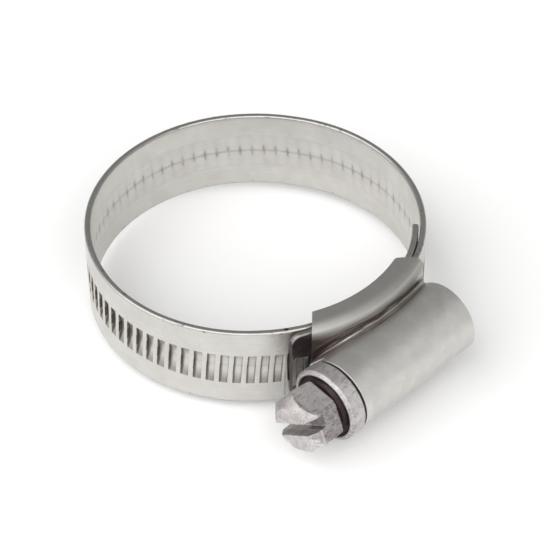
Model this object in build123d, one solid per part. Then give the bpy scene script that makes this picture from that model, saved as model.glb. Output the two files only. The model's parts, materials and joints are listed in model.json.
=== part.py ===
from build123d import *
import math
import os

os.makedirs("parts", exist_ok=True)

# Worm-drive hose clamp, fully open. Millimetres and degrees.
# The hose axis is Z, the housing is at -Y and the screw lies along X with its head at -X.

# band
BAND_W = 11.4          # width of the strip, along Z
BAND_T = 0.8           # sheet thickness
BORE_R = 20.0          # inside radius of the open ring
# the housing guides the band on arcs about this point of the hose plane
CHANNEL_Y = -0.7
FREE_R = 20.58         # inside radius of the outer (sliding) layer
START_R = 19.73        # inside radius of the inner (held) layer
# thread slots pressed in the outer face
SLOT_STEP = 4.4        # degrees from slot to slot on the outer layer
SLOT_W = 1.04
SLOT_DEPTH = 0.5
SLOT_FLOOR_R = 5.5     # the slot's floor is an arc across the band
LINK_SLOTS = 4
LINK_GAP = 0.04        # each link stops this short of its hinge
# where the band bends: a hinge line on the inside face at each point, clockwise from the housing
HINGES = [
    (-8.5407, -18.4856), (-13.7398, -14.9419), (-17.6799, -10.0363), (-19.8781, -4.1408),
    (-20.1185, 2.1466), (-18.3232, 8.1771), (-14.835, 13.4136), (-9.9335, 17.3587),
    (-4.0488, 19.5859), (2.2365, 19.8746), (8.3005, 18.1962), (13.543, 14.7169),
    (17.5306, 9.8498), (20.0106, 4.0672),
]
START_ANGLES = (-115.65, -69.4)       # inner layer, about the channel centre
TONGUE_ANGLES = (-69.1, -48.3)
TONGUE_DROOP = 1.0                   # the tongue leans in a little, away from the outer layer
FREE_ANGLES = (-112.0, 13.4)       # arc of the outer layer
FREE_TIP = 4.2                       # straight end beyond the arc
FREE_TIP_CORNER = 2.0

# screw
SCREW_Y = -25.51
WORM_R = 3.86
WORM_ROOT_R = 2.8
WORM_TURNS = 9
WORM_TIP_HALF = 0.35   # half width of the thread's crest
WORM_FOOT_HALF = 0.56  # half width of the thread at its root
COLLAR_R = 4.8
COLLAR_X = (-13.4, -11.2)
NECK_R = 3.3
NECK_X = -13.9         # the neck runs from the collar to here
HEAD_X = -18.6
HEAD_AF = 7.1          # across flats
HEAD_FACE_R = 2.8      # the head tapers to a round face of this radius
HEAD_CHAMFER = 1.35    # length of the taper
HEAD_CORNER = 129.0    # angle of one hexagon corner, from +Y towards +Z
DRIVER_SLOT_W = 1.6
DRIVER_SLOT_DEPTH = 2.3
DRIVER_SLOT_ANGLE = 146.0
WORM_END_X = 7.6

# housing
BARREL_R = 4.73
BARREL_BORE_R = 3.95
BARREL_X = (-10.85, 8.2)
SADDLE_R = (19.28, 22.23)            # inside and outside of the saddle, about the channel centre
CHANNEL_R = (19.71, 21.56)
CHANNEL_H = 11.5
SADDLE_H = 13.6
SADDLE_LEFT_X = -10.4                # the saddle goes no further left than this
SADDLE_LEFT = ((-8.0, -18.4), (-10.3, -20.6))   # its slanting ends pass through these points
SADDLE_RIGHT = ((5.45, -18.3), (8.25, -20.7))
SADDLE_RIGHT_X = 8.2
FOLD_GAP = 3.2                       # between the two folded-in edges, inside the ring
MOUTH_H = 4.4                        # opening of the barrel towards the band

CENTRE = Vector(0, CHANNEL_Y, 0)
MID_SLOT_R = FREE_R + BAND_T - 0.23  # where thread and slots meet
LEAD = math.radians(SLOT_STEP) * MID_SLOT_R
LEAN = math.degrees(math.atan(LEAD / (2 * math.pi * 3.4)))


def at(centre, radius, angle):
    a = math.radians(angle)
    return Vector(centre.X + radius * math.cos(a), centre.Y + radius * math.sin(a), 0)


def arc_plate(centre, r0, r1, a0, a1, height):
    """A strip bent on edge round a centre, from angle a0 up to a1."""
    inner = CenterArc(centre, r0, a0, a1 - a0)
    outer = CenterArc(centre, r1, a0, a1 - a0)
    face = make_face([inner, Line(inner @ 1, outer @ 1), outer, Line(outer @ 0, inner @ 0)])
    return extrude(face, amount=height / 2, both=True)


def slot_tool(centre, outer_r, angle):
    """What the press pushes into the outer face at one slot."""
    a = math.radians(angle)
    out = Vector(math.cos(a), math.sin(a), 0)
    along = Vector(-math.sin(a), math.cos(a), 0)
    lean = math.radians(LEAN)
    axis = along * math.cos(lean) - Vector(0, 0, 1) * math.sin(lean)
    middle = centre + out * (outer_r - SLOT_DEPTH + SLOT_FLOOR_R)
    plane = Plane(origin=middle, x_dir=out, z_dir=axis)
    return plane * Cylinder(SLOT_FLOOR_R, SLOT_W)


def slotted(strip, centre, outer_r, angles):
    for angle in angles:
        strip = strip - slot_tool(centre, outer_r, angle)
    return strip


def band_link(start, end):
    """A short arc of band between two hinge lines, with its own slots."""
    a, b = Vector(*start, 0), Vector(*end, 0)
    chord = b - a
    inward = Vector(chord.Y, -chord.X, 0).normalized()
    centre = (a + b) * 0.5 + inward * math.sqrt(BORE_R**2 - (chord.length / 2) ** 2)
    span = 2 * math.degrees(math.asin(chord.length / 2 / BORE_R))
    first = math.degrees(math.atan2(a.Y - centre.Y, a.X - centre.X))
    short = math.degrees(LINK_GAP / BORE_R)
    plate = arc_plate(centre, BORE_R, BORE_R + BAND_T, first - span + short, first - short, BAND_W)
    step = span / LINK_SLOTS
    return slotted(plate, centre, BORE_R + BAND_T, [first - step * (i + 0.5) for i in range(LINK_SLOTS)])


def band_start():
    """The inner layer, held in the saddle."""
    short = math.degrees(LINK_GAP / START_R)
    a0, a1 = START_ANGLES
    return arc_plate(CENTRE, START_R, START_R + BAND_T, a0 + short, a1, BAND_W)


def band_tongue():
    """The end of the inner layer, past the saddle."""
    a0, a1 = TONGUE_ANGLES
    plate = arc_plate(CENTRE, START_R, START_R + BAND_T, a0, a1, BAND_W)
    pivot = at(CENTRE, START_R, a0)
    return plate.rotate(Axis((pivot.X, pivot.Y, 0), (0, 0, 1)), TONGUE_DROOP)


def band_free_end():
    """The outer layer: through the housing and on round the ring's right-hand side."""
    a0, a1 = FREE_ANGLES
    short = math.degrees(LINK_GAP / FREE_R)
    outer_r = FREE_R + BAND_T
    arc = arc_plate(CENTRE, FREE_R, outer_r, a0, a1 - short, BAND_W)
    first = math.ceil((a0 + 1.5 + 90) / SLOT_STEP)
    last = math.floor((a1 - 1.5 + 90) / SLOT_STEP)
    arc = slotted(arc, CENTRE, outer_r, [-90 + SLOT_STEP * k for k in range(first, last + 1)])
    root = at(CENTRE, FREE_R, a0)
    back = Vector(math.sin(math.radians(a0)), -math.cos(math.radians(a0)), 0)
    out = Vector(math.cos(math.radians(a0)), math.sin(math.radians(a0)), 0)
    plane = Plane(origin=root, x_dir=back, z_dir=out)
    outline = Rectangle(FREE_TIP, BAND_W, align=(Align.MIN, Align.CENTER))
    far = outline.vertices().sort_by(Axis.X)[-2:]
    outline = fillet(far, FREE_TIP_CORNER)
    tip = plane * extrude(outline, amount=BAND_T)
    return arc + tip


def worm_thread():
    """A right-handed thread whose crest faces the band at X = 0."""
    path = Helix(pitch=LEAD, height=WORM_TURNS * LEAD, radius=WORM_ROOT_R)
    foot = WORM_FOOT_HALF + 0.03
    profile = Polyline(
        (-0.15, -foot), (WORM_R - WORM_ROOT_R, -WORM_TIP_HALF),
        (WORM_R - WORM_ROOT_R, WORM_TIP_HALF), (-0.15, foot), close=True,
    )
    section = Plane(origin=path @ 0, x_dir=(1, 0, 0), z_dir=path % 0) * make_face(profile)
    thread = sweep(section, path=path, is_frenet=True)
    start = -round(WORM_TURNS * 5 / 9) * LEAD
    return Plane(origin=(start, SCREW_Y, 0), x_dir=(0, 1, 0), z_dir=(1, 0, 0)) * thread


def rod(x0, x1, r0, r1=None):
    """A round length of the screw's axis, tapering if r1 is given."""
    plane = Plane(origin=(x0, SCREW_Y, 0), x_dir=(0, 1, 0), z_dir=(1, 0, 0))
    low = (Align.CENTER, Align.CENTER, Align.MIN)
    if r1 is None:
        return plane * Cylinder(r0, x1 - x0, align=low)
    return plane * Cone(r0, r1, x1 - x0, align=low)


def worm_screw():
    core = rod(COLLAR_X[1] - 0.2, WORM_END_X - 0.5, WORM_ROOT_R)
    core = core + rod(WORM_END_X - 0.5, WORM_END_X, WORM_ROOT_R, WORM_ROOT_R - 0.5)
    core = core + worm_thread()
    collar = rod(COLLAR_X[0] + 0.35, COLLAR_X[1], COLLAR_R)
    collar = collar + rod(COLLAR_X[0], COLLAR_X[0] + 0.35, COLLAR_R - 0.35, COLLAR_R)
    neck = rod(NECK_X - 0.1, COLLAR_X[0] + 0.1, NECK_R)
    plane = Plane(origin=(HEAD_X, SCREW_Y, 0), x_dir=(0, 1, 0), z_dir=(1, 0, 0))
    hexagon = RegularPolygon(HEAD_AF / 2, 6, major_radius=False, rotation=HEAD_CORNER)
    head = plane * extrude(hexagon, amount=NECK_X - HEAD_X)
    corner_r = HEAD_AF / 2 / math.cos(math.pi / 6)
    envelope = rod(HEAD_X, HEAD_X + HEAD_CHAMFER, HEAD_FACE_R, corner_r + 0.02)
    envelope = envelope + rod(HEAD_X + HEAD_CHAMFER, NECK_X - 0.45, corner_r + 0.02)
    envelope = envelope + rod(NECK_X - 0.45, NECK_X, corner_r + 0.02, corner_r - 0.35)
    head = head & envelope
    cut = Plane(origin=(HEAD_X, SCREW_Y, 0), x_dir=(0, 1, 0), z_dir=(1, 0, 0))
    cut = cut * Rot(0, 0, DRIVER_SLOT_ANGLE) * Box(
        12, DRIVER_SLOT_W, 2 * DRIVER_SLOT_DEPTH
    )
    return core + collar + neck + (head - cut)


def saddle():
    """The sheet wrapped round the band: outer wall, folds over both edges, folded-in edges."""
    r0, r1 = SADDLE_R
    ring = arc_plate(CENTRE, r0, r1, -125, -55, SADDLE_H)
    outer = [e for e in ring.edges().filter_by(GeomType.CIRCLE) if abs(e.radius - r1) < 1e-3]
    ring = fillet(outer, 1.1)
    inner = [e for e in ring.edges().filter_by(GeomType.CIRCLE) if abs(e.radius - r0) < 1e-3]
    ring = fillet(inner, 0.4)
    for (x0, y0), (x1, y1), side in ((*SADDLE_LEFT, -20), (*SADDLE_RIGHT, 20)):
        along = Vector(x1 - x0, y1 - y0, 0).normalized()
        ring = ring - Plane(origin=(x0, y0, 0), x_dir=along, z_dir=(0, 0, 1)) * Pos(0, side, 0) * Box(40, 40, 40)
    ring = ring - Pos(SADDLE_LEFT_X - 20, -20, 0) * Box(40, 40, 40) - Pos(SADDLE_RIGHT_X + 20, -20, 0) * Box(40, 40, 40)
    seam = arc_plate(CENTRE, r0 - 1, CHANNEL_R[0] + 0.3, -125, -55, FOLD_GAP)
    return ring - seam


def barrel():
    return rod(BARREL_X[0], BARREL_X[1], BARREL_R)


def housing():
    body = saddle() + barrel()
    web = Pos(0, -22.6, 0) * Box(14.6, 1.8, 7.0)
    body = body + web
    body = body - rod(BARREL_X[0] - 1, BARREL_X[1] + 1, BARREL_BORE_R)
    body = body - arc_plate(CENTRE, CHANNEL_R[0], CHANNEL_R[1], -130, -50, CHANNEL_H)
    mouth_top, mouth_low = -20.5, SCREW_Y
    mouth = Pos(0, (mouth_top + mouth_low) / 2, 0) * Box(40, mouth_top - mouth_low, MOUTH_H)
    return body - mouth


def save(name, shape):
    solids = shape.solids()
    solid = solids.sort_by(SortBy.VOLUME)[-1]
    print(name, len(solids), solid.is_valid, round(solid.volume, 3))
    export_step(solid, f"parts/{name}.step")


save("housing", housing())
save("worm_screw", worm_screw())
save("band_start", band_start())
save("band_tongue", band_tongue())
save("band_free_end", band_free_end())
for number, (start, end) in enumerate(zip(HINGES, HINGES[1:]), 1):
    save(f"band_link_{number:02d}", band_link(start, end))
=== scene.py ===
import json
import math

import bmesh
import bpy
import numpy as np
from mathutils import Matrix, Vector, noise


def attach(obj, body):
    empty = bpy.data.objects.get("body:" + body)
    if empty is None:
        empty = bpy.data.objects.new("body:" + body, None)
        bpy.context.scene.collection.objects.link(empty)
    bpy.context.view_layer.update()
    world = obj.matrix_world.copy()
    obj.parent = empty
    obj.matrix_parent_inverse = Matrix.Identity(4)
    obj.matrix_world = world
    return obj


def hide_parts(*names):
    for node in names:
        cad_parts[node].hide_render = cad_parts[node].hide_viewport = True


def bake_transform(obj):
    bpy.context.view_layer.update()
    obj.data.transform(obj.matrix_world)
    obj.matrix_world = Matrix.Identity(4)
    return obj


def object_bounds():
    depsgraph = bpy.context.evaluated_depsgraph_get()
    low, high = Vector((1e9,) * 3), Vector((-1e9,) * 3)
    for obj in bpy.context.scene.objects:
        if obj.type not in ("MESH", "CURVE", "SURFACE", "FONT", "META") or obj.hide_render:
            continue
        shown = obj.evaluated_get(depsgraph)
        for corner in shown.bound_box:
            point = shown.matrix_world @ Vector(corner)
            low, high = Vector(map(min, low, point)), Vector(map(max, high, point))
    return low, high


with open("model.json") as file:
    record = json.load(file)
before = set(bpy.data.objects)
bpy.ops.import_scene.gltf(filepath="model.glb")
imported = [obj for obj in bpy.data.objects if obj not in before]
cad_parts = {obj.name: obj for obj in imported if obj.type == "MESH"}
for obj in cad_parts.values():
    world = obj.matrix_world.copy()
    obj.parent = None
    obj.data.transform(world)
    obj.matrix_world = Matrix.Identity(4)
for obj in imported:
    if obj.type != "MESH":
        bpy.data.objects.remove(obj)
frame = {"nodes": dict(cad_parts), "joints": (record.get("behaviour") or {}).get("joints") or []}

# A stainless worm-drive hose clamp. Lengths below are in millimetres and are scaled on the way out.
MM = 0.001
cad_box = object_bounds()

# ---------------------------------------------------------------- sizes of the band
BAND_W = 11.4
BAND_T = 0.8
LINK_R = 20.0                       # inside radius of a link of the ring,
FREE_R = 20.58                      # of the outer layer
START_R = 19.73                     # and of the inner layer
TONGUE_ANGLES = (-48.3, -69.1)      # each layer's ends, about the point that it slides round
TONGUE_DROOP = 1.0                  # the tongue leans inward by this angle
START_ANGLES = (-69.1, -115.65)
FREE_ANGLES = (13.4, -112.0)
FREE_TIP = 4.2                      # straight length at the outer layer's end
TIP_CORNER = 1.2

LINK_SLOTS = 4
SLOT_STEP = 4.4                     # angle from slot to slot along the outer layer
SLOT_SHARE = 0.794                  # half the length from slot to slot
SLOT_DEPTH = 0.56
SLOT_FLOOR_R = 5.0                  # a slot's floor is an arc across the band
SLOT_MIDDLE_Z = -0.25
SLOT_HALF_LENGTH = math.sqrt(SLOT_FLOOR_R**2 - (SLOT_FLOOR_R - SLOT_DEPTH) ** 2)
SLOT_LEAN = math.tan(math.radians(4.35))
# distance along the band from a slot's middle, and the share of the depth there
SLOT_PROFILE = ((0.0, 1.0), (0.30, 1.0), (0.42, 0.97), (0.465, 0.92), (0.50, 0.04), (0.535, 0.0))

# ---------------------------------------------------------------- sizes of the housing and the screw
BARREL_R = 4.73
BARREL_X = (-10.85, 8.2)
SHEET = 0.72
SADDLE_OUT_R = 22.23
SADDLE_IN_R = 18.98
SADDLE_TOP = 6.8
SADDLE_LEFT = ((-8.0, -18.4), (-10.3, -20.6))     # the slanting ends, as two (x, y) points each
SADDLE_RIGHT = ((5.45, -18.3), (8.25, -20.7))
FOLD_T = 0.70                       # thickness of the edges folded in under the band
FOLD_GAP = 3.2                      # between the two folded edges
FOLD_R, FOLD_INNER_R = 1.6, 0.75
LIP_R, LIP_INNER_R = 0.42, 0.12     # where the saddle's side turns under the band
SIDE_T = 0.9                        # thickness of the saddle's sides
VALLEY_R = 0.32                     # the tight bend between barrel and saddle
CURL = 0.95                         # the sheet at the mouth's left corner stands this proud
NOTCH = 0.75                        # and the barrel's edge is torn back this far beside it
SHEET_BEVEL = 0.09

HEAD_CUT_X = -11.1                  # the head and the collar are left of this, the thread right of it
COLLAR_FACE_X = -13.4
NECK_R = 3.3


# ---------------------------------------------------------------- places taken from the frame
JOINT_AT = {joint["name"]: np.array(joint["pos_m"][:2]) / MM for joint in frame["joints"]}
CENTRE = JOINT_AT["band_draw"]      # the outer layer slides round this point
SCREW_Y = float(JOINT_AT["screw_turn"][1])
HINGE_COUNT = 14
OPEN_HINGE = 6                      # two links only meet here, so it has no joint


def hinge_points():
    """The band's hinges on its inside face, clockwise from the housing."""
    points = {k: JOINT_AT[f"band_flex_{k + 1:02d}"] for k in range(HINGE_COUNT) if k != OPEN_HINGE}
    # all links are equally long, so the open hinge is one link's length from both of its neighbours
    link = np.linalg.norm(points[1] - points[0])
    before, after = points[OPEN_HINGE - 1], points[OPEN_HINGE + 1]
    along = after - before
    half = np.linalg.norm(along) / 2
    outward = np.array([-along[1], along[0]]) / (2 * half)
    points[OPEN_HINGE] = (before + after) / 2 + outward * math.sqrt(link**2 - half**2)
    return [points[k] for k in range(HINGE_COUNT)]


HINGES = hinge_points()


# ---------------------------------------------------------------- mesh helpers
def make_object(name, verts, faces, attributes, smooth_angle):
    """A mesh object from millimetre coordinates, shaded smooth up to an edge angle."""
    mesh = bpy.data.meshes.new(name)
    mesh.from_pydata((np.asarray(verts) * MM).tolist(), [], faces)
    for key, values in attributes.items():
        values = np.asarray(values, np.float32)
        kind = "FLOAT_VECTOR" if values.ndim == 2 else "FLOAT"
        layer = mesh.attributes.new(key, kind, "POINT")
        layer.data.foreach_set("vector" if values.ndim == 2 else "value", values.ravel())
    obj = bpy.data.objects.new(name, mesh)
    bpy.context.scene.collection.objects.link(obj)
    clean(obj, smooth_angle)
    return obj


def clean(obj, smooth_angle):
    """Outward normals, and sharp edges where the faces meet at more than an angle."""
    bm = bmesh.new()
    bm.from_mesh(obj.data)
    bmesh.ops.recalc_face_normals(bm, faces=bm.faces)
    limit = math.radians(smooth_angle)
    for f in bm.faces:
        f.smooth = True
    for e in bm.edges:
        e.smooth = len(e.link_faces) == 2 and e.calc_face_angle(0.0) < limit
    bm.to_mesh(obj.data)
    bm.free()


def smoothstep(x):
    x = np.clip(x, 0, 1)
    return x * x * (3 - 2 * x)


def bell(distance, width, power=2):
    """1 at no distance, falling away over a width."""
    return np.exp(-(distance / width) ** power)


def tube_faces(rows, ring):
    """Quads of a closed section swept along rows; rows are stored one after another."""
    faces = []
    for i in range(rows - 1):
        a, b = i * ring, (i + 1) * ring
        for j in range(ring):
            k = (j + 1) % ring
            faces.append((a + j, a + k, b + k, b + j))
    return faces


# ---------------------------------------------------------------- the band's line
LINE_STEP = 0.05        # spacing of the points along the band's line
KINK_WIDTH = 0.45       # kinks are smoothed out over about this length


def arc_points(centre, radius, a0, a1):
    count = max(2, int(abs(math.radians(a1 - a0)) * radius / LINE_STEP))
    a = np.radians(np.linspace(a0, a1, count + 1))
    return np.stack([centre[0] + radius * np.cos(a), centre[1] + radius * np.sin(a)], 1)


def link_arc(a, b):
    chord = b - a
    length = np.linalg.norm(chord)
    inward = np.array([chord[1], -chord[0]]) / length
    centre = (a + b) / 2 + inward * math.sqrt(LINK_R**2 - (length / 2) ** 2)
    span = 2 * math.degrees(math.asin(length / 2 / LINK_R))
    first = math.degrees(math.atan2(a[1] - centre[1], a[0] - centre[0]))
    return arc_points(centre, LINK_R, first, first - span)


def build_line():
    """The inside face's line, clockwise from the tongue's end to the tip, and where its parts meet."""
    runs = []
    tongue = arc_points(CENTRE, START_R, *TONGUE_ANGLES)
    pivot = tongue[-1]
    c, s = math.cos(math.radians(TONGUE_DROOP)), math.sin(math.radians(TONGUE_DROOP))
    runs.append((tongue - pivot) @ np.array([[c, s], [-s, c]]) + pivot)
    runs.append(arc_points(CENTRE, START_R, *START_ANGLES))
    for a, b in zip(HINGES, HINGES[1:]):
        runs.append(link_arc(a, b))
    free = arc_points(CENTRE, FREE_R, *FREE_ANGLES)
    runs.append(free)
    last = math.radians(FREE_ANGLES[1])
    back = np.array([math.sin(last), -math.cos(last)])
    runs.append(free[-1] + back * np.linspace(0, FREE_TIP, round(FREE_TIP / LINE_STEP) + 1)[:, None])
    points, lengths, total = [runs[0][0]], [0.0], 0.0
    marks = [0.0]
    for run in runs:
        for p, q in zip(run, run[1:]):
            total += float(np.linalg.norm(q - p))
            points.append(q)
            lengths.append(total)
        marks.append(total)
    return np.array(points), np.array(lengths), marks


def smoothed(points, lengths):
    """Evenly spaced points, with the small kinks where the arcs meet smoothed out."""
    sigma, step = KINK_WIDTH, LINE_STEP
    s = np.arange(0, lengths[-1] + step / 2, step)
    p = np.stack([np.interp(s, lengths, points[:, i]) for i in (0, 1)], 1)
    reach = int(4 * sigma / step)
    kernel = np.exp(-0.5 * (np.arange(-reach, reach + 1) * step / sigma) ** 2)
    kernel /= kernel.sum()
    head = 2 * p[0] - p[1:reach + 1][::-1]
    tail = 2 * p[-1] - p[-reach - 1:-1][::-1]
    wide = np.concatenate([head, p, tail])
    q = np.stack([np.convolve(wide[:, i], kernel, "valid") for i in (0, 1)], 1)
    tangent = np.gradient(q, step, axis=0)
    tangent /= np.linalg.norm(tangent, axis=1)[:, None]
    return s, q, tangent


raw_points, raw_lengths, MARKS = build_line()
LINE_S, LINE_P, LINE_T = smoothed(raw_points, raw_lengths)
# MARKS: the tongue's end, the held layer's start, hinge 0 to hinge 13, the arc's end, the tip's end
S_TONGUE, S_START, S_HINGE, S_TIP = MARKS[0], MARKS[1], MARKS[2:2 + HINGE_COUNT], MARKS[-1]


def on_line(s):
    """The points at lengths s along the line, and the directions out of the ring there."""
    s = np.asarray(s, float)
    p = np.stack([np.interp(s, LINE_S, LINE_P[:, i]) for i in (0, 1)], -1)
    t = np.stack([np.interp(s, LINE_S, LINE_T[:, i]) for i in (0, 1)], -1)
    t /= np.linalg.norm(t, axis=-1)[..., None]
    # past either end the line runs straight on
    over = np.clip(s - LINE_S[-1], 0, None) + np.clip(s, None, 0)
    return p + t * over[..., None], np.stack([-t[..., 1], t[..., 0]], -1)


def slot_centres():
    """Where the slots are along the line: evenly in the links, and on over the outer layer to its tip."""
    out = []
    for a, b in zip(S_HINGE, S_HINGE[1:]):
        out += [a + (b - a) * (i + 0.5) / LINK_SLOTS for i in range(LINK_SLOTS)]
    high, low = FREE_ANGLES
    middle = -90                    # one slot is at the housing's middle
    margin = 1.5                    # and none is nearer the arc's ends than this
    first = math.ceil((low + margin - middle) / SLOT_STEP)
    last = math.floor((high - margin - middle) / SLOT_STEP)
    for k in range(last, first - 1, -1):
        angle = middle + SLOT_STEP * k
        out.append(S_HINGE[-1] + math.radians(high - angle) * FREE_R)
    pitch = math.radians(SLOT_STEP) * FREE_R
    while out[-1] + pitch < S_TIP + 0.2:
        out.append(out[-1] + pitch)
    return np.array(out)


SLOTS = slot_centres()

# ---------------------------------------------------------------- the band's section and its marks
Z_EDGE = BAND_W / 2
EDGE_R = 0.28
Z_FLAT = Z_EDGE - EDGE_R
# the lines across the outer face, finer where the slots are, and across the inner face
Z_OUT = sorted(
    {round(SLOT_MIDDLE_Z + z, 3) for z in np.linspace(-1.9, 1.9, 17)}
    | {round(SLOT_MIDDLE_Z + s * z, 3) for s in (-1, 1) for z in (2.05, 2.16, 2.23)}
    | {round(SLOT_MIDDLE_Z + s * z, 3) for s in (-1, 1) for z in (SLOT_HALF_LENGTH, 2.36, 2.7)}
    | {1.65, 1.75, 1.85, 1.95}
    | {s * z for s in (-1, 1) for z in (3.2, 3.8, 4.4, 5.0, Z_FLAT)}
)
Z_IN = sorted(
    {round(z, 3) for z in np.linspace(-1.2, 1.2, 17)}
    | {s * z for s in (-1, 1) for z in (1.6, 2.1, 2.34, 2.45, 2.56, 3.0, 3.9, 4.8, Z_FLAT)}
)
RIM, OUTER, INNER = 0, 1, 2         # kinds of point round the section


def band_section():
    """The section's points as (z, height over the inside face, kind), once round."""
    arc = np.linspace(0, math.pi / 2, 5)
    ring = [(z, BAND_T, OUTER) for z in Z_OUT[::-1]]
    for a in arc[1:]:
        ring.append((-Z_EDGE + EDGE_R - EDGE_R * math.sin(a), BAND_T - EDGE_R + EDGE_R * math.cos(a), RIM))
    for a in arc[:-1]:
        ring.append((-Z_EDGE + EDGE_R - EDGE_R * math.cos(a), EDGE_R - EDGE_R * math.sin(a), RIM))
    ring += [(z, 0.0, INNER) for z in Z_IN]
    for a in arc[1:]:
        ring.append((Z_EDGE - EDGE_R + EDGE_R * math.sin(a), EDGE_R - EDGE_R * math.cos(a), RIM))
    for a in arc[:-1]:
        ring.append((Z_EDGE - EDGE_R + EDGE_R * math.cos(a), BAND_T - EDGE_R + EDGE_R * math.sin(a), RIM))
    return np.array(ring)


def section_lines(s0, s1, slotted):
    """Positions along the band of a strip's cross lines, which are close together at the slots."""
    plain_step, slot_reach, closest, exact = 0.35, 0.85, 0.025, 1e-6
    offsets = [ds for ds, _ in SLOT_PROFILE] + [0.1, 0.2, 0.66, SLOT_SHARE]
    lines = {s0, s1}
    near = [c for c in SLOTS if slotted and s0 - 0.4 < c < s1 + 0.4]
    for c in near:
        for o in offsets:
            lines |= {c - o, c + o}
    count = max(1, int((s1 - s0) / plain_step))
    for x in np.linspace(s0, s1, count + 1):
        if all(abs(x - c) > slot_reach for c in near):
            lines.add(x)
    ordered = [x for x in sorted(lines) if s0 - exact <= x <= s1 + exact]
    kept = [ordered[0]]
    for x in ordered[1:]:
        if x - kept[-1] > closest:
            kept.append(x)
        elif abs(x - s1) < exact:
            kept[-1] = x
    return np.array(kept)


def slot_depth(ds, z):
    """How far the outer face is pressed in, at ds along the band from the nearest slot's middle."""
    across = np.interp(np.abs(ds), *zip(*SLOT_PROFILE))
    off = np.clip(np.abs(z - SLOT_MIDDLE_Z), 0, SLOT_FLOOR_R - 0.01)
    floor = SLOT_DEPTH - (SLOT_FLOOR_R - np.sqrt(SLOT_FLOOR_R**2 - off**2))
    return across * np.clip(floor, 0, None)


def shade_in_slots(ds, z):
    """Painted shade in a slot: along its walls, on its far side, and more towards its lower end."""
    low = np.clip((SLOT_MIDDLE_Z - 0.7 - z) / 1.2, 0, 1)
    far_side = smoothstep((ds - 0.18) / 0.14)
    step = bell(z - SLOT_MIDDLE_Z - 0.25, 0.14)
    wall = bell(np.abs(ds) - 0.47, 0.06)
    return np.clip(0.03 + 0.60 * low + 0.60 * wall + 0.62 * far_side + 0.16 * step, 0, 1)


def press_marks_and_shade(ds, z):
    """Marks on the inner face: a tick behind each slot, a centre line and two scored lines, and ripples of
    painted shade from the slots' raised backs.
    """
    tick = bell(ds, 0.14) * bell(z, 0.75, 4)
    line = 0.6 * bell(z, 0.18)
    ripple = 0.17 * (0.5 + 0.5 * np.cos(ds * math.pi / SLOT_SHARE)) * smoothstep((2.6 - np.abs(z)) / 0.5)
    scored = 0.20 * bell(np.abs(z) - 2.45, 0.12)
    return np.clip(tick + line + ripple + scored, 0, 1)


def painted_tail_shade(s, z):
    """Painted shade on the outer layer's end, which lies in the dark gap under the housing, with a lighter
    border line of painted highlight that slants along its upper side.
    """
    border = 2.05 - 0.35 * np.clip((S_TIP - s) / 3.0, 0, 1)
    tail_shade = np.clip((s - (S_TIP - 8.5)) / 2.0, 0, 1)
    tail_shade = tail_shade * np.where(z > border, 1.0, np.where(z > -2.3, 0.45, 0.9))
    return tail_shade * (1 - 0.9 * bell(z - border, 0.11))


PRESS_MARK_HEIGHT = 0.03


def band_strip(name, s0, s1, slotted=True, tip=False, lean=True):
    """One length of band: pressed outer face with painted shade in the slots, rounded edges, inner face with
    the press's faint marks and painted shade, and painted shade at the outer layer's end.
    """
    rows = section_lines(s0, s1, slotted)
    if tip:
        extra = s1 - TIP_CORNER * (1 - np.cos(np.linspace(0, math.pi / 2, 14)))
        rows = np.array(sorted({round(float(x), 4) for x in rows} | {round(float(x), 4) for x in extra}))
    z, t, kind = band_section().T
    S, Z = np.meshgrid(rows, z, indexing="ij")
    T = np.broadcast_to(t, S.shape).copy()
    K = np.broadcast_to(kind, S.shape)
    shear = SLOT_LEAN if lean else 0.0
    if tip:
        from_end = np.clip(s1 - S, 0, None)
        short = np.where(
            from_end < TIP_CORNER,
            TIP_CORNER - np.sqrt(np.clip(TIP_CORNER**2 - (TIP_CORNER - from_end) ** 2, 0, None)), 0.0)
        Z = Z * (Z_EDGE - short) / Z_EDGE
        shear = shear * np.clip((s1 - 3.0 - S) / 2.0, 0, 1)
    slot_shade = np.zeros(S.shape)
    mark_and_shade = np.zeros(S.shape)
    if slotted:
        nearest = SLOTS[np.abs(rows[:, None] - SLOTS[None]).argmin(1)]
        ds = (rows - nearest)[:, None] + 0 * Z
        depth = np.where(K == OUTER, slot_depth(ds, Z), 0.0)
        T -= depth
        # painted shade in the slots, on the outer face
        slot_shade = np.where((K == OUTER) & (depth > 0.02), shade_in_slots(ds, Z), 0.0)
        # the press's marks on the inner face, with ripples of painted shade
        mark_and_shade = np.where(K == INNER, press_marks_and_shade(ds, Z), 0.0)
        T += PRESS_MARK_HEIGHT * mark_and_shade
    p, out = on_line(S - Z * shear)
    xy = p + out * T[..., None]
    verts = np.concatenate([xy, Z[..., None]], -1).reshape(-1, 3)
    count = len(z)
    faces = tube_faces(len(rows), count)
    for row in (0, len(rows) - 1):      # one face closes each end
        faces.append([row * count + j for j in range(count)])
    # painted shade on the outer layer's end
    tail_shade = np.where(K == OUTER, painted_tail_shade(S, Z), 0.0)
    # the rounded edges, which the material darkens with painted shade
    rim = np.where(K == RIM, 1.0, 0.0)
    if tip:
        # painted shade on the tip's end face and, near the tip, on its rounded edges, so that they don't
        # catch the light
        cap = S > s1 - 0.02
        tail_shade = np.maximum(tail_shade, np.where(cap, 0.92, np.where(rim * (S > S_TIP - 8) > 0, 0.45, 0.0)))
    return make_object(
        name, verts, faces,
        {"flow": np.stack([S, Z, T], -1).reshape(-1, 3), "slot_shade": slot_shade.ravel(),
         "press_mark_and_shade": mark_and_shade.ravel(), "tail_shade": tail_shade.ravel(),
         "near_edge": np.clip((np.abs(Z) - 4.9) / 0.6, 0, 1).ravel(), "rim": rim.ravel()},
        smooth_angle=50.0)


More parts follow.
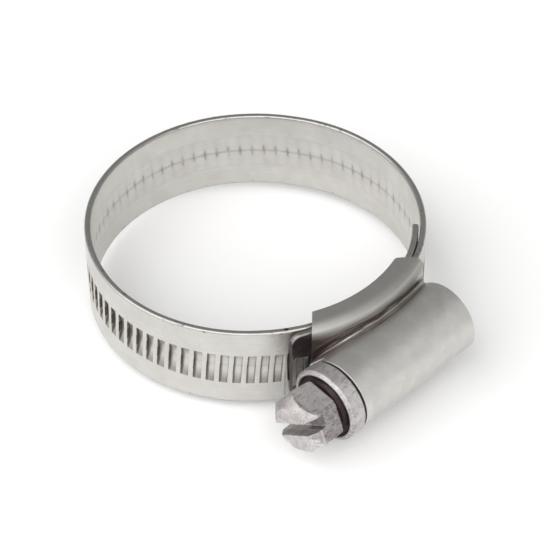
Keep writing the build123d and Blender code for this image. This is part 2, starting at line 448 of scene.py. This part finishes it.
# ---------------------------------------------------------------- band pieces and how they move
def mid(k):
    """The middle of link k, which is between hinges k - 1 and k."""
    return (S_HINGE[k - 1] + S_HINGE[k]) / 2


def link_body(k):
    return "housing" if k == 0 else "free_end" if k == HINGE_COUNT else f"band_link_{k:02d}"


def bend_points(s_hinge, reach):
    """The two points between which a strip turns from one body to the next."""
    a, _ = on_line(s_hinge - reach)
    b, _ = on_line(s_hinge + reach)
    return Vector((a[0] * MM, a[1] * MM, 0)), Vector((b[0] * MM, b[1] * MM, 0))


TONGUE_CUT = S_START + 3.0      # where one strip ends and the next begins
ROOT_CUT = S_HINGE[0] - 3.1
FREE_CUT = S_HINGE[-1] + 3.1
TONGUE_REACH, HINGE_REACH = 2.2, 2.5
OPEN_GAP = 0.02                 # each side of the open hinge
band_pieces = []

tongue = band_strip("band_tongue_end", S_TONGUE, TONGUE_CUT, slotted=False, lean=False)
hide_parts("band_tongue")
bend_points(S_START, TONGUE_REACH)
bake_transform(tongue)
band_pieces.append(tongue)

held = band_strip("band_held_layer", TONGUE_CUT, ROOT_CUT, slotted=False, lean=False)
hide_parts("band_start")
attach(held, "housing")
band_pieces.append(held)

for k in range(HINGE_COUNT):
    lo = ROOT_CUT if k == 0 else mid(k)
    hi = FREE_CUT if k == HINGE_COUNT - 1 else mid(k + 1)
    if k == OPEN_HINGE:
        for tag, a, b, body in (("a", lo, S_HINGE[k] - OPEN_GAP, k), ("b", S_HINGE[k] + OPEN_GAP, hi, k + 1)):
            piece = band_strip(f"band_side_{k:02d}{tag}", a, b)
            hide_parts(link_body(body))
            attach(piece, link_body(body))
            band_pieces.append(piece)
        continue
    piece = band_strip(f"band_side_{k:02d}", lo, hi, lean=k > 0)
    if k > 0:
        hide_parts(link_body(k))
    bend_points(S_HINGE[k], HINGE_REACH)
    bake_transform(piece)
    band_pieces.append(piece)

free = band_strip("band_free_layer", FREE_CUT, S_TIP, tip=True)
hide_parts("band_free_end")
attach(free, "free_end")
band_pieces.append(free)


# ---------------------------------------------------------------- housing
def fillet_points(corner, before, after, radius, count):
    """Points of a rounded corner in the plane of the section."""
    u = (before - corner) / np.linalg.norm(before - corner)
    v = (after - corner) / np.linalg.norm(after - corner)
    angle = math.acos(np.clip(u @ v, -1, 1))
    reach = radius / math.tan(angle / 2)
    middle = (u + v) / np.linalg.norm(u + v)
    centre = corner + middle * radius / math.sin(angle / 2)
    a, b = corner + u * reach - centre, corner + v * reach - centre
    sweep = math.acos(np.clip(a @ b / radius**2, -1, 1))
    turn = np.linspace(0, 1, count)
    return np.array([
        centre + (math.sin((1 - w) * sweep) * a + math.sin(w * sweep) * b) / math.sin(sweep) for w in turn])


# how many points each part of the half section has, from the barrel's underside to the folded-in edge
N_BARREL, N_VALLEY, N_WALL, N_FOLD, N_SIDE, N_LIP, N_IN = 46, 12, 5, 14, 8, 7, 12


def half_section(x, inside):
    """The upper half of the sheet's section at x, as (z, y) points of its outer or its inside face."""
    wall = CENTRE[1] - math.sqrt(SADDLE_OUT_R**2 - x**2)
    inner = CENTRE[1] - math.sqrt(SADDLE_IN_R**2 - x**2)
    cy = wall - VALLEY_R
    cz = math.sqrt((BARREL_R + VALLEY_R) ** 2 - (cy - SCREW_Y) ** 2)
    touch = math.atan2(cy - SCREW_Y, cz)
    grow = SHEET if inside else 0.0
    barrel_r = BARREL_R - grow
    valley_r = VALLEY_R + grow
    a = np.linspace(-math.pi / 2, touch, N_BARREL)
    points = [np.stack([barrel_r * np.cos(a), SCREW_Y + barrel_r * np.sin(a)], 1)]
    a = np.linspace(touch + math.pi, math.pi / 2, N_VALLEY + 1)[1:]
    points.append(np.stack([cz + valley_r * np.cos(a), cy + valley_r * np.sin(a)], 1))
    y_wall = wall + grow
    z_top = SADDLE_TOP - (SIDE_T if inside else 0)
    y_in = inner - (FOLD_T if inside else 0)
    r_fold = FOLD_INNER_R if inside else FOLD_R
    r_lip = LIP_INNER_R if inside else LIP_R
    corner = np.array([z_top, y_wall])
    lip = np.array([z_top, y_in])
    end = np.array([FOLD_GAP / 2, y_in])
    fold = fillet_points(corner, np.array([cz, y_wall]), lip, r_fold, N_FOLD)
    lip_arc = fillet_points(lip, corner, end, r_lip, N_LIP)
    w = np.linspace(0, 1, N_WALL + 2)[1:-1, None]
    points.append(points[-1][-1] * (1 - w) + fold[0] * w)
    points.append(fold)
    w = np.linspace(0, 1, N_SIDE + 2)[1:-1, None]
    points.append(fold[-1] * (1 - w) + lip_arc[0] * w)
    points.append(lip_arc)
    w = np.linspace(0, 1, N_IN + 1)[1:, None]
    points.append(lip_arc[-1] * (1 - w) + end * w)
    return np.concatenate(points)


TEAR_WIDTH = 3.6        # in stations, like the other widths across the sheet
CURL_LENGTH = 1.25      # from the sheet's left end
CURL_PUSH = np.array([-0.10, 0.12, 0.95]) * CURL


def edge_x(v, y_left, y_right):
    """Where the sheet starts and ends along X, at station v of the half section and its depths there."""
    last_barrel = N_BARREL - 1
    into = smoothstep((v - (last_barrel - 5)) / (N_VALLEY + 4.0))
    (x0, y0), (x1, y1) = SADDLE_LEFT
    slant = np.clip(x0 + (y_left - y0) * (x1 - x0) / (y1 - y0), BARREL_X[0], None)
    left = BARREL_X[0] + (slant - BARREL_X[0]) * into
    left = left + NOTCH * bell(v - last_barrel + 8, TEAR_WIDTH)
    (x0, y0), (x1, y1) = SADDLE_RIGHT
    slant = x0 + (y_right - y0) * (x1 - x0) / (y1 - y0)
    into = smoothstep((v - (last_barrel - 3)) / (N_VALLEY + 2.0))
    right = BARREL_X[1] + (slant - BARREL_X[1]) * into
    return left, right


def sheet_face(inside, u, stations):
    """A grid of points of one face of the sheet: along X at shares u, then along the half section."""
    xs = np.linspace(-10.6, 10.6, 87)
    table = np.array([half_section(float(x), inside) for x in xs])
    grid = np.zeros((len(u), len(stations), 3))
    # the ends slant with depth and the depth depends on x, so the two are settled in turns
    y_left = y_right = table[len(xs) // 2, :, 1]
    for _ in range(14):
        left, right = edge_x(stations, y_left, y_right)
        y_left = np.array([np.interp(left[i], xs, table[:, i, 1]) for i in stations])
        y_right = np.array([np.interp(right[i], xs, table[:, i, 1]) for i in stations])
    for i in stations:
        x = left[i] + (right[i] - left[i]) * u
        grid[:, i, 0] = x
        grid[:, i, 1] = np.interp(x, xs, table[:, i, 1])
        grid[:, i, 2] = np.interp(x, xs, table[:, i, 0])
    return grid


def mirrored(values):
    """The lower half's values, in order, and then the upper half's."""
    return np.concatenate([values[:, 1:][:, ::-1], values], 1)


def outer_only(values):
    """Values on the sheet's outer face, with none on its inside face."""
    return np.concatenate([mirrored(values), 0 * values, 0 * values[:, 1:]], 1)


def crease_shade(outer):
    """Painted shade in the tight bend: a broad band on the saddle's side, a thin line on the barrel's side.
    """
    valley = N_BARREL + N_VALLEY // 2
    steps = np.linalg.norm(np.diff(outer, axis=1), axis=2)
    travel = np.concatenate([np.zeros((len(outer), 1)), np.cumsum(steps, axis=1)], 1)
    travel = travel - travel[:, valley:valley + 1]
    to_left = np.clip((8.0 - outer[..., 0]) / 18.0, 0, 1)
    broad = bell(travel - 0.35 - 0.35 * to_left, 0.60 + 0.70 * to_left)
    thin = 0.7 * bell(travel + 0.85 + 0.25 * to_left, 0.17)
    return np.maximum(broad, thin)


def build_housing():
    """One bent sheet: barrel, tight bend, saddle side, folded-in edge, and the same mirrored below."""
    columns, evenness = 96, 0.65        # cross lines, a little closer together near the ends
    even = np.linspace(0, 1, columns)
    u = (1 - np.cos(np.linspace(0, math.pi, columns))) / 2 * (1 - evenness) + even * evenness
    stations = np.arange(len(half_section(0.0, False)))
    outer, inner = sheet_face(False, u, stations), sheet_face(True, u, stations)
    # the sheet curls outward where the barrel's left end runs into the saddle
    from_left = np.clip(outer[..., 0] - outer[:1, :, 0], 0, None)
    curl = bell(stations - N_BARREL + 0.5, TEAR_WIDTH)[None] * bell(from_left, CURL_LENGTH, 1.6)
    outer += curl[..., None] * CURL_PUSH
    inner += curl[..., None] * CURL_PUSH * 0.9
    flip = np.array([1, 1, -1])
    section_out = np.concatenate([outer[:, 1:][:, ::-1] * flip, outer], 1)
    section_in = np.concatenate([inner[:, 1:][:, ::-1] * flip, inner], 1)[:, ::-1]
    ring = np.concatenate([section_out, section_in], 1)
    rows, n = ring.shape[:2]
    faces = tube_faces(rows, n)
    for row in (0, rows - 1):           # quads across the sheet's thickness close each end
        for j in range(n // 2 - 1):
            k = n - 1 - j
            faces.append((row * n + j, row * n + j + 1, row * n + k - 1, row * n + k))
    side = N_BARREL + N_VALLEY          # where the saddle's side starts
    fold = side + N_WALL                # and where it folds
    past_barrel = np.clip((stations - (N_BARREL - 8)) / 8.0, 0, 1)
    share = {
        # a painted highlight along the fold's bend line
        "bend_line": bell(stations - (fold + 5), 1.3),
        # painted shade at the barrel's mouth, where it runs into the saddle
        "mouth": past_barrel * np.clip((fold + 6 - stations) / 8.0, 0, 1),
        # painted shade over the saddle's side and fold
        "wing": np.clip((stations - side) / 5.0, 0, 1),
    }
    marks = {key: outer_only(np.broadcast_to(values, outer.shape[:2])) for key, values in share.items()}
    # the mouth's painted shade fades out to the right, and is lighter where the sheet curls out
    marks["mouth"] *= np.clip(1 - (ring[..., 0] + 9.9) / 4.2, 0, 1)
    marks["mouth"] *= 1 - 0.85 * np.clip(outer_only(curl) * 1.4, 0, 1)
    # painted shade in the tight bend
    marks["crease"] = outer_only(crease_shade(outer))
    lengths = np.concatenate([[0], np.cumsum(np.linalg.norm(np.diff(ring[rows // 2], axis=0), axis=1))])
    flow = np.stack([ring[..., 0], np.broadcast_to(lengths, (rows, n)), ring[..., 2] * 0], -1).reshape(-1, 3)
    attributes = {"flow": flow, **{key: values.ravel() for key, values in marks.items()}}
    return make_object("housing_sheet_metal", ring.reshape(-1, 3), faces, attributes, smooth_angle=40.0)


housing = build_housing()
sheet_edge = housing.modifiers.new("edge", "BEVEL")
sheet_edge.width = SHEET_BEVEL * MM
sheet_edge.segments = 2
sheet_edge.limit_method = "ANGLE"
sheet_edge.angle_limit = math.radians(40)
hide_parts("housing")
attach(housing, "housing")


# ---------------------------------------------------------------- screw
def screw_part(name, kept_side, scale):
    """A new object with the screw's surface on one side of the cut (1 left, -1 right), closed there."""
    bm = bmesh.new()
    bm.from_mesh(frame["nodes"]["worm_screw"].data)
    bmesh.ops.remove_doubles(bm, verts=bm.verts, dist=1e-6)
    geometry = list(bm.verts) + list(bm.edges) + list(bm.faces)
    cut = bmesh.ops.bisect_plane(
        bm, geom=geometry, plane_co=(HEAD_CUT_X * MM, 0, 0), plane_no=(kept_side, 0, 0), clear_outer=True)
    edges = [e for e in cut["geom_cut"] if isinstance(e, bmesh.types.BMEdge)]
    bmesh.ops.holes_fill(bm, edges=edges, sides=0)
    bmesh.ops.scale(bm, vec=(scale,) * 3, verts=bm.verts)
    mesh = bpy.data.meshes.new(name)
    bm.to_mesh(mesh)
    bm.free()
    obj = bpy.data.objects.new(name, mesh)
    bpy.context.scene.collection.objects.link(obj)
    return obj


def coordinates(mesh):
    co = np.zeros(len(mesh.vertices) * 3)
    mesh.vertices.foreach_get("co", co)
    return co.reshape(-1, 3)


HEAD_VOXEL = 0.075
DENT_HEIGHT, SCRATCH_HEIGHT, CHIP_HEIGHT, NICK_DEPTH = 0.018, 0.010, 0.055, 0.05
NECK_HOLLOW = 0.38              # depth of the hollow round the neck
WORN_FACE_ANGLE = 159           # the hexagon's most scratched face, from +Y towards +Z
NICKED_ANGLE = 215              # the collar's nicks
NICKS_ROUND = 46                # as many as would go once round


def angle_from(angle, middle):
    """Signed degrees from a middle angle, -180 to 180."""
    return (angle - middle + 180) % 360 - 180


def roughened_head():
    """A machined, knocked-about head: edges rounded over, a hollow round the neck, scratches and dents."""
    obj = screw_part("screw_head", 1, 1 / MM)       # in millimetres until the end
    voxels = obj.modifiers.new("voxels", "REMESH")
    voxels.mode = "VOXEL"
    voxels.voxel_size = HEAD_VOXEL
    soft = obj.modifiers.new("round", "SMOOTH")
    soft.factor = 0.5
    soft.iterations = 4
    graph = bpy.context.evaluated_depsgraph_get()
    mesh = bpy.data.meshes.new_from_object(obj.evaluated_get(graph))
    obj.modifiers.clear()
    obj.data = mesh
    co = coordinates(mesh)
    normal = np.array([v.normal[:] for v in mesh.vertices])
    x, y, z = co[:, 0], co[:, 1] - SCREW_Y, co[:, 2]
    from_collar = x - COLLAR_FACE_X
    radius = np.hypot(y, z)
    angle = np.degrees(np.arctan2(z, y)) % 360
    # the hollow round the neck, in the collar's face
    on_face = (x > COLLAR_FACE_X - 0.25) & (x < COLLAR_FACE_X + 0.6) & (radius < 4.5)
    round_neck = smoothstep((4.3 - radius) / 0.35) * (radius > NECK_R + 0.1)
    hollow = np.where(on_face & (normal[:, 0] < -0.3), round_neck, 0)
    # dents everywhere, and deep scratches on one face of the hexagon
    worn_face = (np.abs(angle_from(angle, WORN_FACE_ANGLE)) < 32) & (x > -17.0) & (x < -13.8)
    shade_and_dirt = np.zeros(len(co))
    dents = np.zeros(len(co))
    for i, p in enumerate(co):
        v = Vector(p)
        wide = noise.fractal(v * 0.9, 0.6, 2.1, 3)
        scratch = noise.fractal(Vector((v.x * 1.1, v.y * 5.0, v.z * 5.0)), 0.7, 2.0, 3)
        dents[i] = DENT_HEIGHT * wide + SCRATCH_HEIGHT * scratch
        if worn_face[i]:
            chip = noise.fractal(Vector((v.x * 3.2, v.y * 1.6, v.z * 2.4)), 0.7, 2.1, 4)
            dents[i] += CHIP_HEIGHT * min(chip, 0.2)
            # dirt in the worn face's scratches
            shade_and_dirt[i] = 0.30 + 0.5 * abs(scratch)
    # painted shade on the head's taper where it faces up and on the collar's rounded corner, so that they
    # don't catch the light, and painted shade with oil in the groove behind the hexagon
    taper = (x < -17.3) & (normal[:, 0] > -0.9) & (normal[:, 2] > 0.1)
    chamfer = (np.abs(from_collar - 0.15) < 0.35) & (radius > 4.2)
    shade_and_dirt = np.maximum(shade_and_dirt, np.where(taper, 0.24, 0) + np.where(chamfer, 0.16, 0))
    groove = (x > COLLAR_FACE_X - 0.75) & (radius < 4.25)
    shade_and_dirt = np.maximum(shade_and_dirt, np.where(groove, smoothstep((4.32 - radius) / 0.3), 0))
    # nicks like a knurl's on the collar's lower front corner
    nick = np.cos(np.radians(angle * NICKS_ROUND)) * bell(from_collar - 0.3, 0.35)
    nick *= smoothstep((radius - 4.2) / 0.4) * bell(angle_from(angle, NICKED_ANGLE), 28)
    nick = np.clip(nick, 0, 1)
    co = co + normal * (dents - NICK_DEPTH * nick)[:, None]
    co[:, 0] += NECK_HOLLOW * hollow
    mesh.vertices.foreach_set("co", (co * MM).ravel())
    # one attribute holds the painted shade and the dirt in the scratches and nicks
    layer = mesh.attributes.new("shade_and_dirt", "FLOAT", "POINT")
    layer.data.foreach_set("value", np.clip(shade_and_dirt + 0.5 * nick, 0, 1).astype(np.float32))
    mesh.polygons.foreach_set("use_smooth", [True] * len(mesh.polygons))
    mesh.update()
    return obj


screw_head = roughened_head()
screw_thread = screw_part("screw_thread", -1, 1.0)
clean(screw_thread, smooth_angle=35)
for piece in (screw_head, screw_thread):
    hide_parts("worm_screw")
    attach(piece, "screw")


# ---------------------------------------------------------------- materials
BAND_DULL, BAND_BRIGHT = (0.58, 0.565, 0.535), (0.65, 0.64, 0.615)
BAND_LINES = (0.48, 0.465, 0.435)
BAND_SPECKS = (0.22, 0.20, 0.19)
# colour of the press marks and of the painted shade in their ripples
BAND_PRESSED_AND_SHADE = (0.24, 0.225, 0.21)
# painted shade on the band's rounded edges, so that they don't catch the light
BAND_RIM_SHADE = (0.34, 0.325, 0.31)
BAND_NICKS = (0.16, 0.145, 0.14)
# brown painted shade in the slots
SLOT_SHADE = (0.125, 0.098, 0.082)
# painted shade on the outer layer's end, under the housing
TAIL_SHADE = (0.035, 0.018, 0.022)

SHEET_DULL, SHEET_BRIGHT = (0.585, 0.575, 0.55), (0.67, 0.66, 0.635)
SHEET_LINES = (0.47, 0.455, 0.43)
# painted shade on the saddle's side and fold, where the fold would catch the light
SHEET_WING_SHADE = (0.30, 0.293, 0.275)
# painted highlight along the fold's bend line
SHEET_BEND_HIGHLIGHT = (0.78, 0.77, 0.74)
# painted shade in the tight bend
CREASE_SHADE = (0.085, 0.055, 0.038)
# painted shade at the barrel's mouth
MOUTH_SHADE = (0.075, 0.045, 0.045)

SCREW_DULL, SCREW_MIDDLE, SCREW_BRIGHT = (0.44, 0.41, 0.405), (0.56, 0.535, 0.53), (0.64, 0.62, 0.615)
SCREW_PITS = (0.20, 0.165, 0.16)
SCREW_SCUFFS = (0.17, 0.13, 0.13)
SCREW_RUBBED = (0.78, 0.77, 0.76)
# painted shade on the head, with oil and dirt in its hollows, scratches and nicks
SCREW_DIRT_AND_SHADE = (0.040, 0.024, 0.024)


class Nodes:
    """Short calls for building a material's node tree."""

    def __init__(self, name):
        self.material = bpy.data.materials.new(name)
        self.material.use_nodes = True
        self.tree = self.material.node_tree
        self.shader = self.tree.nodes["Principled BSDF"]

    def node(self, kind, **properties):
        n = self.tree.nodes.new(kind)
        for key, value in properties.items():
            setattr(n, key, value)
        return n

    def link(self, a, b):
        self.tree.links.new(a, b)

    def attribute(self, name, vector=False):
        n = self.node("ShaderNodeAttribute", attribute_name=name)
        return n.outputs["Vector" if vector else "Fac"]

    def stretched(self, source, scale):
        n = self.node("ShaderNodeVectorMath", operation="MULTIPLY")
        self.link(source, n.inputs[0])
        n.inputs[1].default_value = scale
        return n.outputs[0]

    def noise(self, source, scale, detail, rough, distortion=0.0):
        n = self.node("ShaderNodeTexNoise")
        n.inputs["Scale"].default_value = scale
        n.inputs["Detail"].default_value = detail
        n.inputs["Roughness"].default_value = rough
        n.inputs["Distortion"].default_value = distortion
        self.link(source, n.inputs["Vector"])
        return n.outputs["Fac"]

    def ramp(self, source, stops):
        n = self.node("ShaderNodeValToRGB")
        ramp = n.color_ramp
        while len(ramp.elements) < len(stops):
            ramp.elements.new(0.5)
        for element, (place, value) in zip(ramp.elements, stops):
            element.position = place
            element.color = (*value, 1)
        self.link(source, n.inputs["Fac"])
        return n.outputs["Color"]

    def map(self, source, *ranges):
        """Values from ranges[0] to ranges[1] become values from ranges[2] to ranges[3]."""
        n = self.node("ShaderNodeMapRange")
        for socket, value in zip(("From Min", "From Max", "To Min", "To Max"), ranges):
            n.inputs[socket].default_value = value
        self.link(source, n.inputs["Value"])
        return n.outputs["Result"]

    def math(self, kind, a, b):
        n = self.node("ShaderNodeMath", operation=kind)
        self.link(a, n.inputs[0])
        self.link(b, n.inputs[1])
        return n.outputs[0]

    def mix(self, factor, under, colour):
        """A plain colour laid over another output by a factor."""
        n = self.node("ShaderNodeMix", data_type="RGBA")
        self.link(factor, n.inputs[0])
        self.link(under, n.inputs[6])
        n.inputs[7].default_value = (*colour, 1)
        return n.outputs[2]

    def bump(self, height, distance, strength, after=None):
        n = self.node("ShaderNodeBump")
        n.inputs["Strength"].default_value = strength
        n.inputs["Distance"].default_value = distance
        self.link(height, n.inputs["Height"])
        if after is not None:
            self.link(after, n.inputs["Normal"])
        return n.outputs["Normal"]


def band_material():
    """Bright rolled strip: long fine rolling lines, faint mottling, dark specks, darker press marks with
    painted shade, and painted shade in the slots, on the rounded edges and at the outer layer's end.
    """
    m = Nodes("band_steel_rolled")
    m.shader.inputs["Metallic"].default_value = 1.0
    flow = m.attribute("flow", vector=True)
    rolling = m.noise(m.stretched(flow, (0.35, 9.0, 1.0)), 1.0, 4.0, 0.6)
    grain = m.noise(m.stretched(flow, (6.0, 9.0, 6.0)), 1.0, 3.0, 0.6)
    cloud = m.noise(flow, 0.35, 3.0, 0.5)
    speck = m.noise(m.stretched(flow, (1.0, 1.6, 1.0)), 2.4, 2.0, 0.65, 0.4)
    colour = m.ramp(cloud, [(0.3, BAND_DULL), (0.7, BAND_BRIGHT)])
    colour = m.mix(m.map(rolling, 0.35, 0.65, 0.0, 0.35), colour, BAND_LINES)
    colour = m.mix(m.map(speck, 0.69, 0.74, 0.0, 0.55), colour, BAND_SPECKS)
    patch = m.map(m.noise(flow, 0.8, 2.0, 0.5), 0.3, 0.6, 0.35, 1.0)
    # press marks, with painted shade in their ripples
    press = m.math("MULTIPLY", m.map(m.attribute("press_mark_and_shade"), 0.05, 1.0, 0.0, 0.80), patch)
    colour = m.mix(press, colour, BAND_PRESSED_AND_SHADE)
    # painted shade on the rounded edges
    colour = m.mix(m.map(m.attribute("rim"), 0.0, 1.0, 0.0, 0.55), colour, BAND_RIM_SHADE)
    nick = m.noise(m.stretched(flow, (0.9, 2.2, 1.0)), 1.0, 3.0, 0.7)
    nick = m.math("MULTIPLY", m.map(nick, 0.62, 0.68, 0.0, 0.8), m.attribute("near_edge"))
    colour = m.mix(nick, colour, BAND_NICKS)
    # the slots' painted shade darkens the colour and adds a little roughness
    shade_and_dirt = m.attribute("slot_shade")
    colour = m.mix(m.map(shade_and_dirt, 0.0, 1.0, 0.0, 0.90), colour, SLOT_SHADE)
    # painted shade on the outer layer's end, with a little more roughness
    tail_shade = m.math("MULTIPLY", m.attribute("tail_shade"), m.map(cloud, 0.2, 0.6, 0.75, 1.0))
    colour = m.mix(m.map(tail_shade, 0.0, 1.0, 0.0, 0.96), colour, TAIL_SHADE)
    m.link(colour, m.shader.inputs["Base Color"])
    rough = m.math("ADD", m.map(grain, 0.3, 0.7, 0.25, 0.40), m.map(shade_and_dirt, 0.0, 1.0, 0.0, 0.08))
    rough = m.math("ADD", rough, m.map(tail_shade, 0.0, 1.0, 0.0, 0.25))
    m.link(rough, m.shader.inputs["Roughness"])
    normal = m.bump(rolling, 0.012 * MM, 0.6)
    normal = m.bump(grain, 0.010 * MM, 0.5, normal)
    m.link(normal, m.shader.inputs["Normal"])
    return m.material


def housing_material():
    """Satin pressed sheet: cross-hatched fine grain, soft clouding, painted shade in the tight bend, at the
    mouth and on the saddle's side, and a painted highlight along the fold's bend line.
    """
    m = Nodes("housing_steel_satin")
    m.shader.inputs["Metallic"].default_value = 1.0
    flow = m.attribute("flow", vector=True)
    grain = m.noise(m.stretched(flow, (1.2, 7.0, 1.0)), 1.0, 4.0, 0.6)
    fine = m.noise(flow, 9.0, 3.0, 0.6)
    cloud = m.noise(flow, 0.5, 3.0, 0.5)
    colour = m.ramp(cloud, [(0.3, SHEET_DULL), (0.7, SHEET_BRIGHT)])
    colour = m.mix(m.map(grain, 0.35, 0.7, 0.0, 0.3), colour, SHEET_LINES)
    # painted shade on the saddle's side and fold
    wing = m.attribute("wing")
    colour = m.mix(m.map(wing, 0.0, 1.0, 0.0, 0.75), colour, SHEET_WING_SHADE)
    streak = m.noise(m.stretched(flow, (0.22, 4.0, 1.0)), 1.0, 3.0, 0.6)
    # painted shade in the tight bend, broken into streaks
    crease = m.math("MULTIPLY", m.attribute("crease"), m.map(streak, 0.36, 0.58, 0.30, 1.0))
    colour = m.mix(m.map(crease, 0.12, 0.75, 0.0, 0.93), colour, CREASE_SHADE)
    # painted shade at the barrel's mouth, broken into streaks
    mouth = m.math("MULTIPLY", m.attribute("mouth"), m.map(streak, 0.34, 0.56, 0.55, 1.0))
    colour = m.mix(m.map(mouth, 0.1, 0.8, 0.0, 0.9), colour, MOUTH_SHADE)
    # painted highlight along the fold's bend line
    colour = m.mix(m.map(m.attribute("bend_line"), 0.2, 1.0, 0.0, 0.22), colour, SHEET_BEND_HIGHLIGHT)
    m.link(colour, m.shader.inputs["Base Color"])
    rough = m.math("ADD", m.map(fine, 0.3, 0.7, 0.38, 0.50), m.map(crease, 0.2, 0.9, 0.0, 0.15))
    rough = m.math("ADD", rough, m.map(wing, 0.0, 1.0, 0.0, 0.12))
    m.link(rough, m.shader.inputs["Roughness"])
    normal = m.bump(grain, 0.010 * MM, 0.6)
    normal = m.bump(fine, 0.008 * MM, 0.5, normal)
    m.link(normal, m.shader.inputs["Normal"])
    return m.material


def screw_material(name, dull):
    """Machined and knocked steel: turned lines, bright rubbed edges, and painted shade with oil and dirt in
    the hollows, on the head's taper and on the collar's corner.
    """
    m = Nodes(name)
    m.shader.inputs["Metallic"].default_value = 1.0
    place = m.node("ShaderNodeTexCoord").outputs["Object"]
    turned = m.noise(m.stretched(place, (6000.0, 500.0, 500.0)), 1.0, 3.0, 0.6)
    blotch = m.noise(place, 700.0, 4.0, 0.6)
    fine = m.noise(place, 5000.0, 3.0, 0.6)
    colour = m.ramp(blotch, [(0.30, SCREW_DULL), (0.52, SCREW_MIDDLE), (0.72, SCREW_BRIGHT)])
    colour = m.mix(m.map(fine, 0.57, 0.72, 0.0, 0.5), colour, SCREW_PITS)
    scuff = m.noise(m.stretched(place, (900.0, 2600.0, 2600.0)), 1.0, 4.0, 0.65, 0.6)
    colour = m.mix(m.map(scuff, 0.56, 0.66, 0.0, 0.55), colour, SCREW_SCUFFS)
    corners = m.node("ShaderNodeNewGeometry").outputs["Pointiness"]
    colour = m.mix(m.map(corners, 0.52, 0.58, 0.0, 0.6), colour, SCREW_RUBBED)
    # painted shade, with oil and dirt, on the head
    shade_and_dirt = m.attribute("shade_and_dirt")
    colour = m.mix(m.map(shade_and_dirt, 0.0, 1.0, 0.0, 0.96), colour, SCREW_DIRT_AND_SHADE)
    m.link(colour, m.shader.inputs["Base Color"])
    m.link(m.map(blotch, 0.3, 0.7, 0.60 + dull, 0.50 + dull), m.shader.inputs["Roughness"])
    normal = m.bump(turned, 0.012 * MM, 0.6)
    normal = m.bump(fine, 0.012 * MM, 0.5, normal)
    m.link(normal, m.shader.inputs["Normal"])
    return m.material


steel = band_material()
for piece in band_pieces:
    piece.data.materials.append(steel)
housing.data.materials.append(housing_material())
THREAD_DULLNESS = 0.08
for piece, dull in ((screw_head, 0.0), (screw_thread, THREAD_DULLNESS)):
    piece.data.materials.append(screw_material(piece.name + "_steel", dull))


# ---------------------------------------------------------------- floor, light and camera, in metres
FLOOR_SIZE = 6.0
FLOOR_DROP = 0.00002            # the floor is this far under the object, so that the two faces don't coincide
FLOOR_TONE = 0.93
SKY_COLOUR = (1.0, 0.995, 0.985)
CARD_TOWARDS = (0.50, 0.50, 0.70)       # a darker card stands behind and above the object, as in a studio
CARD_FROM, CARD_FULL = 0.1, 0.95
SKY_STRENGTH, CARD_STRENGTH = 0.74, 0.34
LIGHTS = (                      # name, place, size, power
    ("key", (-0.75, 0.30, 0.80), 1.5, 11.0),
    ("front", (-0.35, -0.75, 0.75), 1.2, 7.0),
)


def floor_and_light():
    bpy.ops.mesh.primitive_plane_add(size=FLOOR_SIZE, location=(0, 0, cad_box[0][2] - FLOOR_DROP))
    ground = bpy.context.object
    ground.name = "floor"
    m = Nodes("floor_pale")
    m.shader.inputs["Base Color"].default_value = (FLOOR_TONE, FLOOR_TONE, FLOOR_TONE, 1)
    m.shader.inputs["Roughness"].default_value = 0.9
    m.shader.inputs["Specular IOR Level"].default_value = 0.1
    ground.data.materials.append(m.material)
    world = bpy.data.worlds.new("studio")
    world.use_nodes = True
    tree = world.node_tree
    background = tree.nodes["Background"]
    background.inputs["Color"].default_value = (*SKY_COLOUR, 1)
    place = tree.nodes.new("ShaderNodeTexCoord").outputs["Generated"]
    towards = tree.nodes.new("ShaderNodeVectorMath")
    towards.operation = "DOT_PRODUCT"
    towards.inputs[1].default_value = CARD_TOWARDS
    tree.links.new(place, towards.inputs[0])
    strength = tree.nodes.new("ShaderNodeMapRange")
    strength.interpolation_type = "SMOOTHSTEP"
    strength.inputs["From Min"].default_value = CARD_FROM
    strength.inputs["From Max"].default_value = CARD_FULL
    strength.inputs["To Min"].default_value = SKY_STRENGTH
    strength.inputs["To Max"].default_value = CARD_STRENGTH
    tree.links.new(towards.outputs["Value"], strength.inputs["Value"])
    tree.links.new(strength.outputs["Result"], background.inputs["Strength"])
    bpy.context.scene.world = world
    for name, place, size, power in LIGHTS:
        light = bpy.data.lights.new(name, "AREA")
        light.shape = "SQUARE"
        light.size = size
        light.energy = power
        obj = bpy.data.objects.new(name, light)
        obj.location = place
        obj.rotation_euler = (-Vector(place)).to_track_quat("-Z", "Y").to_euler()
        bpy.context.scene.collection.objects.link(obj)


# where the camera stands, seen from the point that it looks at; in millimetres and degrees
CAMERA_TARGET = (-1.37, -6.42, 0.0)
CAMERA_DISTANCE = 282.4
CAMERA_AZIMUTH, CAMERA_ELEVATION, CAMERA_ROLL = 225.11, 42.73, -0.54
CAMERA_SENSOR, CAMERA_LENS = 36.0, 145.57


def camera():
    data = bpy.data.cameras.new("camera")
    data.sensor_width = CAMERA_SENSOR
    data.lens = CAMERA_LENS
    data.clip_start = 0.01
    obj = bpy.data.objects.new("camera", data)
    turn = (Matrix.Rotation(math.radians(CAMERA_AZIMUTH + 90), 4, "Z")
            @ Matrix.Rotation(math.radians(90 - CAMERA_ELEVATION), 4, "X")
            @ Matrix.Rotation(math.radians(CAMERA_ROLL), 4, "Z"))
    target = Matrix.Translation(Vector(CAMERA_TARGET) * MM)
    obj.matrix_world = target @ turn @ Matrix.Translation((0, 0, CAMERA_DISTANCE * MM))
    bpy.context.scene.collection.objects.link(obj)
    bpy.context.scene.camera = obj


floor_and_light()
camera()
bpy.context.scene.view_settings.view_transform = "Standard"
